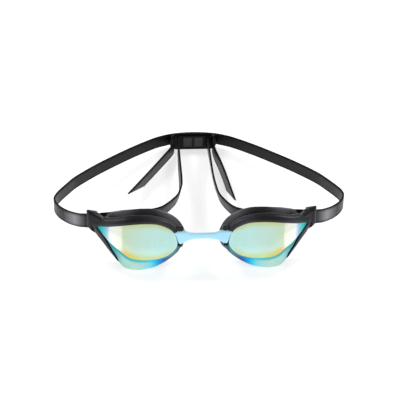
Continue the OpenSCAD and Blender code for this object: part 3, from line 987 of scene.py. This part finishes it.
def band_section():
    """The band's section as [across its thickness, along its width] with its own normals."""
    radius, half_t, half_w = 0.4, STRAP_T / 2, STRAP_W / 2
    points, normals = [], []
    for sx, sz, start in ((1, 1, 0), (-1, 1, 90), (-1, -1, 180), (1, -1, 270)):
        middle = [sx * (half_t - radius), sz * (half_w - radius)]
        corner = arc(middle, radius, start, start + 90, 5)
        points += corner
        normals += list(unit(np.array(corner) - middle))
        if start in (90, 270):
            rise = -sz * (half_w - radius)
            points += [[sx * half_t, -rise * f] for f in (0.6, 0.2, -0.2, -0.6)]
            normals += [[sx, 0]] * 4
    return np.array(points), np.array(normals)


def band_rings(route, ups, first, last, cut):
    """The band's rings of points and their normals, from the first station to the last. A cut
    carries the last ring forward, further the higher it is."""
    forward = unit(np.gradient(route, axis=0))
    ups = unit(ups - np.sum(ups * forward, axis=1, keepdims=True) * forward)
    across = np.cross(forward, ups)
    points, normals = band_section()
    rings, ring_normals = [], []
    for i in range(first, last):
        ring = route[i] + points[:, :1] * across[i] + points[:, 1:] * ups[i]
        if cut and i == len(route) - 1:
            ring = ring + forward[i] * (points[:, 1:] / STRAP_W + 0.5) * cut
        rings.append(ring)
        ring_normals.append(normals[:, :1] * across[i] + normals[:, 1:] * ups[i])
    return np.array(rings), np.array(ring_normals)


def store_band_looks(mesh, rings, darkens):
    """Keeps where the band is edge, where its bend has a painted highlight and where its far run has
    painted shade, for its material.
    """
    points, _ = band_section()
    edge = np.clip((np.abs(points[:, 1]) - EDGE_START) / EDGE_RUN, 0, 1)
    store(mesh, "strap_edge", np.tile(edge, len(rings)), "FLOAT")
    away = np.abs(rings[..., 0] - PALE_MIDDLE) / PALE_REACH
    store(mesh, "strap_bend_highlight", np.clip(1 - away, 0, 1) * (rings[..., 1] < PALE_REAR), "FLOAT")
    far = np.interp(rings[..., 1], FAR_DARK, [0, 1])
    store(mesh, "strap_far_shade", far * darkens, "FLOAT")


def build_band(name, route, ups, side, material, first=0, last=None, cut=0.0, darkens=False):
    """A flat band along a route of points, standing along its up vectors. Only the stretch from
    first to last is built, so that neighbours share one smooth line."""
    last = len(route) if last is None else last
    rings, ring_normals = band_rings(route, ups, first, last, cut)
    count, around, _ = rings.shape
    faces = tube_faces(count, around, start_cap=False, end_cap=cut > 0)
    if side > 0:
        faces = [face[::-1] for face in faces]
    mesh = bpy.data.meshes.new(name)
    mesh.from_pydata([tuple(p) for p in to_row(rings.reshape(-1, 3), side)], [], faces)
    mesh.shade_smooth()
    store_band_looks(mesh, rings, darkens)
    mesh.normals_split_custom_set_from_vertices(
        [tuple(n) for n in ring_normals.reshape(-1, 3) * [side, 1, 1]]
    )
    obj = new_object(name, mesh)
    obj.data.materials.append(material)
    return obj


def route_ups(spans, route):
    """Up vectors along a route: each span is (share of its length where it ends, up)."""
    share = np.linspace(0, 1, len(route))
    places = [place for place, _ in spans]
    values = np.array([up for _, up in spans])
    return np.column_stack([np.interp(share, places, values[:, i]) for i in range(3)])


def build_strap(name, side, material):
    """One side of the strap. Returns the outer run's route and up vectors, and the step where
    the length behind the clip starts."""
    outer = OUTER_ROUTE + SIDE_ROUTE + REAR_ROUTE
    route = spline(outer, ROUTE_STEPS)
    spans = len(outer) - 1
    bend_start, bend_end = 2, len(OUTER_ROUTE) - 1
    side_end = bend_end + len(SIDE_ROUTE)
    ups = route_ups([
        (0, SLOT_UP), (bend_start / spans, SLOT_UP), (bend_end / spans, PLUMB), (1, PLUMB),
    ], route)
    bend = build_band(f"{name}_strap_outer", route, ups, side, material, last=bend_end * ROUTE_STEPS + 1)
    run = build_band(
        f"{name}_strap_long", route, ups, side, material,
        first=bend_end * ROUTE_STEPS, last=side_end * ROUTE_STEPS + 1, darkens=True,
    )
    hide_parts(f"{name}_strap_bend")
    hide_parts(f"{name}_strap_side")
    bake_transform(bend)
    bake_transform(run)
    build_inner(name, side, material)
    return route, ups, side_end * ROUTE_STEPS


def build_inner(name, side, material):
    """The lower run: behind the cup, back to the clip, round the clip's bar and out as a tail."""
    inner = INNER_ROUTE[name] + RETURN_ROUTE[name] + LOOP_ROUTE + TAIL_ROUTE[name]
    route = spline(inner, ROUTE_STEPS)
    spans = len(inner) - 1
    turn = len(INNER_ROUTE[name]) - 1
    clip_in = turn + len(RETURN_ROUTE[name])
    clip_out = clip_in + len(LOOP_ROUTE)
    ups = route_ups([
        (0, SLOT_UP), (3 / spans, SLOT_UP), (7 / spans, BEND_UP), (turn / spans, TURN_UP),
        (clip_in / spans, PLUMB), (clip_out / spans, PLUMB), (1, TAIL_UP[name]),
    ], route)
    bend = build_band(f"{name}_strap_inner", route, ups, side, material, last=turn * ROUTE_STEPS + 1)
    back = build_band(
        f"{name}_strap_back", route, ups, side, material,
        first=turn * ROUTE_STEPS, last=clip_in * ROUTE_STEPS + 1,
    )
    loop = build_band(
        f"{name}_strap_turn", route, ups, side, material,
        first=clip_in * ROUTE_STEPS, last=clip_out * ROUTE_STEPS + 1,
    )
    tail = build_band(
        f"{name}_strap_tail", route, ups, side, material, first=clip_out * ROUTE_STEPS, cut=TAIL_CUT,
    )
    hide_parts(f"{name}_strap_slot", f"{name}_inner_bend")
    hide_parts(f"{name}_strap_return")
    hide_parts(f"{name}_strap_loop")
    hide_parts(f"{name}_tail")
    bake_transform(bend)
    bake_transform(back)
    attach(loop, "rear")
    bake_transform(tail)


def build_rear_strap(route, ups, start, material):
    """The length behind the clip, joined on to both sides."""
    half, half_ups = route[start:], ups[start:]
    whole = np.vstack([half, half[-2::-1] * [-1, 1, 1]])
    whole_ups = np.vstack([half_ups, half_ups[-2::-1]])
    obj = build_band("rear_strap_band", whole, whole_ups, 1, material, darkens=True)
    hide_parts("rear_strap")
    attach(obj, "rear")


# ---- The scene ----

# The world's brightness at the horizon, overhead, and as a share of that behind the goggles
HORIZON = 0.97
OVERHEAD = 0.1
BEHIND = 0.25
FLOOR_GLOW = 0.7
FLOOR_HALF = 3.0
FLOOR_GAP = 0.00005
BOX_AT = (0.75, 0.65, 0.95)
BOX_SIZE = (0.2, 0.45)
BOX_POWER = 4
# Degrees round the goggles, degrees above level and degrees of roll
VIEW_ANGLES = (-3.7, 36.4, 1.2)
VIEW_DISTANCE = 0.9
VIEW_TARGET = (0.0011, -0.0124, 0.0116)
FOCAL_LENGTH = 109.7


def build_lights():
    """A soft box behind and above the goggles on either side, aimed at their middle."""
    for side in (-1, 1):
        light = bpy.data.lights.new("soft_box", "AREA")
        light.shape = "RECTANGLE"
        light.size, light.size_y = BOX_SIZE
        light.energy = BOX_POWER
        obj = new_object("soft_box", light)
        obj.location = Vector(BOX_AT) * Vector((side, 1, 1))
        obj.rotation_euler = (-obj.location).to_track_quat("-Z", "Y").to_euler()


def ease(tree, value, *limits):
    """Goes between the last two limits while value goes between the first two."""
    made = tree.nodes.new("ShaderNodeMapRange")
    made.interpolation_type = "SMOOTHSTEP"
    for socket, limit in zip(made.inputs[1:5], limits):
        socket.default_value = limit
    tree.links.new(value, made.inputs[0])
    return made.outputs[0]


def build_world():
    """White round the horizon and dimmer overhead and behind, so that tops of dark parts stay dark."""
    world = bpy.data.worlds.new("studio")
    world.use_nodes = True
    tree = world.node_tree
    place = tree.nodes.new("ShaderNodeTexCoord")
    way = tree.nodes.new("ShaderNodeSeparateXYZ")
    tree.links.new(place.outputs["Generated"], way.inputs[0])
    both = tree.nodes.new("ShaderNodeMath")
    both.operation = "MULTIPLY"
    tree.links.new(ease(tree, way.outputs["Z"], 0.2, 0.7, HORIZON, OVERHEAD), both.inputs[0])
    tree.links.new(ease(tree, way.outputs["Y"], 0.5, 0.9, 1, BEHIND), both.inputs[1])
    tree.links.new(both.outputs[0], tree.nodes["Background"].inputs["Strength"])
    tree.nodes["Background"].inputs["Color"].default_value = (1, 1, 1, 1)
    bpy.context.scene.world = world
    bpy.context.scene.view_settings.view_transform = "Standard"


def build_floor():
    """A plain pale floor, large enough for every view."""
    half, low = FLOOR_HALF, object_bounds()[0].z - FLOOR_GAP
    mesh = bpy.data.meshes.new("floor")
    corners = [(-half, -half, low), (half, -half, low), (half, half, low), (-half, half, low)]
    mesh.from_pydata(corners, [], [(0, 1, 2, 3)])
    floor = new_object("floor", mesh)
    paint = Paint("floor", Roughness=0.9, Specular_IOR_Level=0.0, Emission_Strength=FLOOR_GLOW)
    paint.plug("Emission Color", (1, 1, 1, 1))
    paint.plug("Base Color", paint.mix(paint.noise(3, 2), (0.93, 0.93, 0.93, 1), (0.95, 0.95, 0.95, 1)))
    mesh.materials.append(paint.material)


def build_camera():
    """Front three-quarter view from above, at a product photograph's distance."""
    azimuth, elevation, tilt = (math.radians(angle) for angle in VIEW_ANGLES)
    back = Vector((
        math.sin(azimuth) * math.cos(elevation), -math.cos(azimuth) * math.cos(elevation),
        math.sin(elevation),
    ))
    camera = bpy.data.cameras.new("camera")
    camera.sensor_width = 36
    camera.lens = FOCAL_LENGTH
    obj = new_object("camera", camera)
    obj.location = Vector(VIEW_TARGET) + back * VIEW_DISTANCE
    facing = (-back).to_track_quat("-Z", "Y") @ Quaternion((0, 0, 1), tilt)
    obj.rotation_euler = facing.to_euler()
    bpy.context.scene.camera = obj


def build_cups():
    """Each cup's lens, frame and gasket, which ride together."""
    lens = lens_material()
    plastic = frame_material()
    silicone = gasket_material()
    for name, side in SIDES.items():
        pieces = {
            "lens": build_lens(f"{name}_lens_mirrored", side, lens),
            "frame": build_frame(f"{name}_frame_moulded", side, plastic),
            "gasket": build_gasket(f"{name}_gasket_soft", side, silicone),
        }
        for node, obj in pieces.items():
            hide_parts(f"{name}_{node}")
            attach(obj, f"{name}_cup")


def build_object():
    """Every piece of the goggles, each on its own body and in place of its CAD solids."""
    build_cups()
    bridge = build_bridge(bridge_material())
    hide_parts("nose_bridge")
    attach(bridge, "bridge")
    clip = build_clip(clip_material())
    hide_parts("rear_clip")
    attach(clip, "rear")
    silicone = strap_material()
    for name, side in SIDES.items():
        route, ups, start = build_strap(name, side, silicone)
    build_rear_strap(route, ups, start, silicone)


build_object()
build_world()
build_floor()
build_lights()
build_camera()
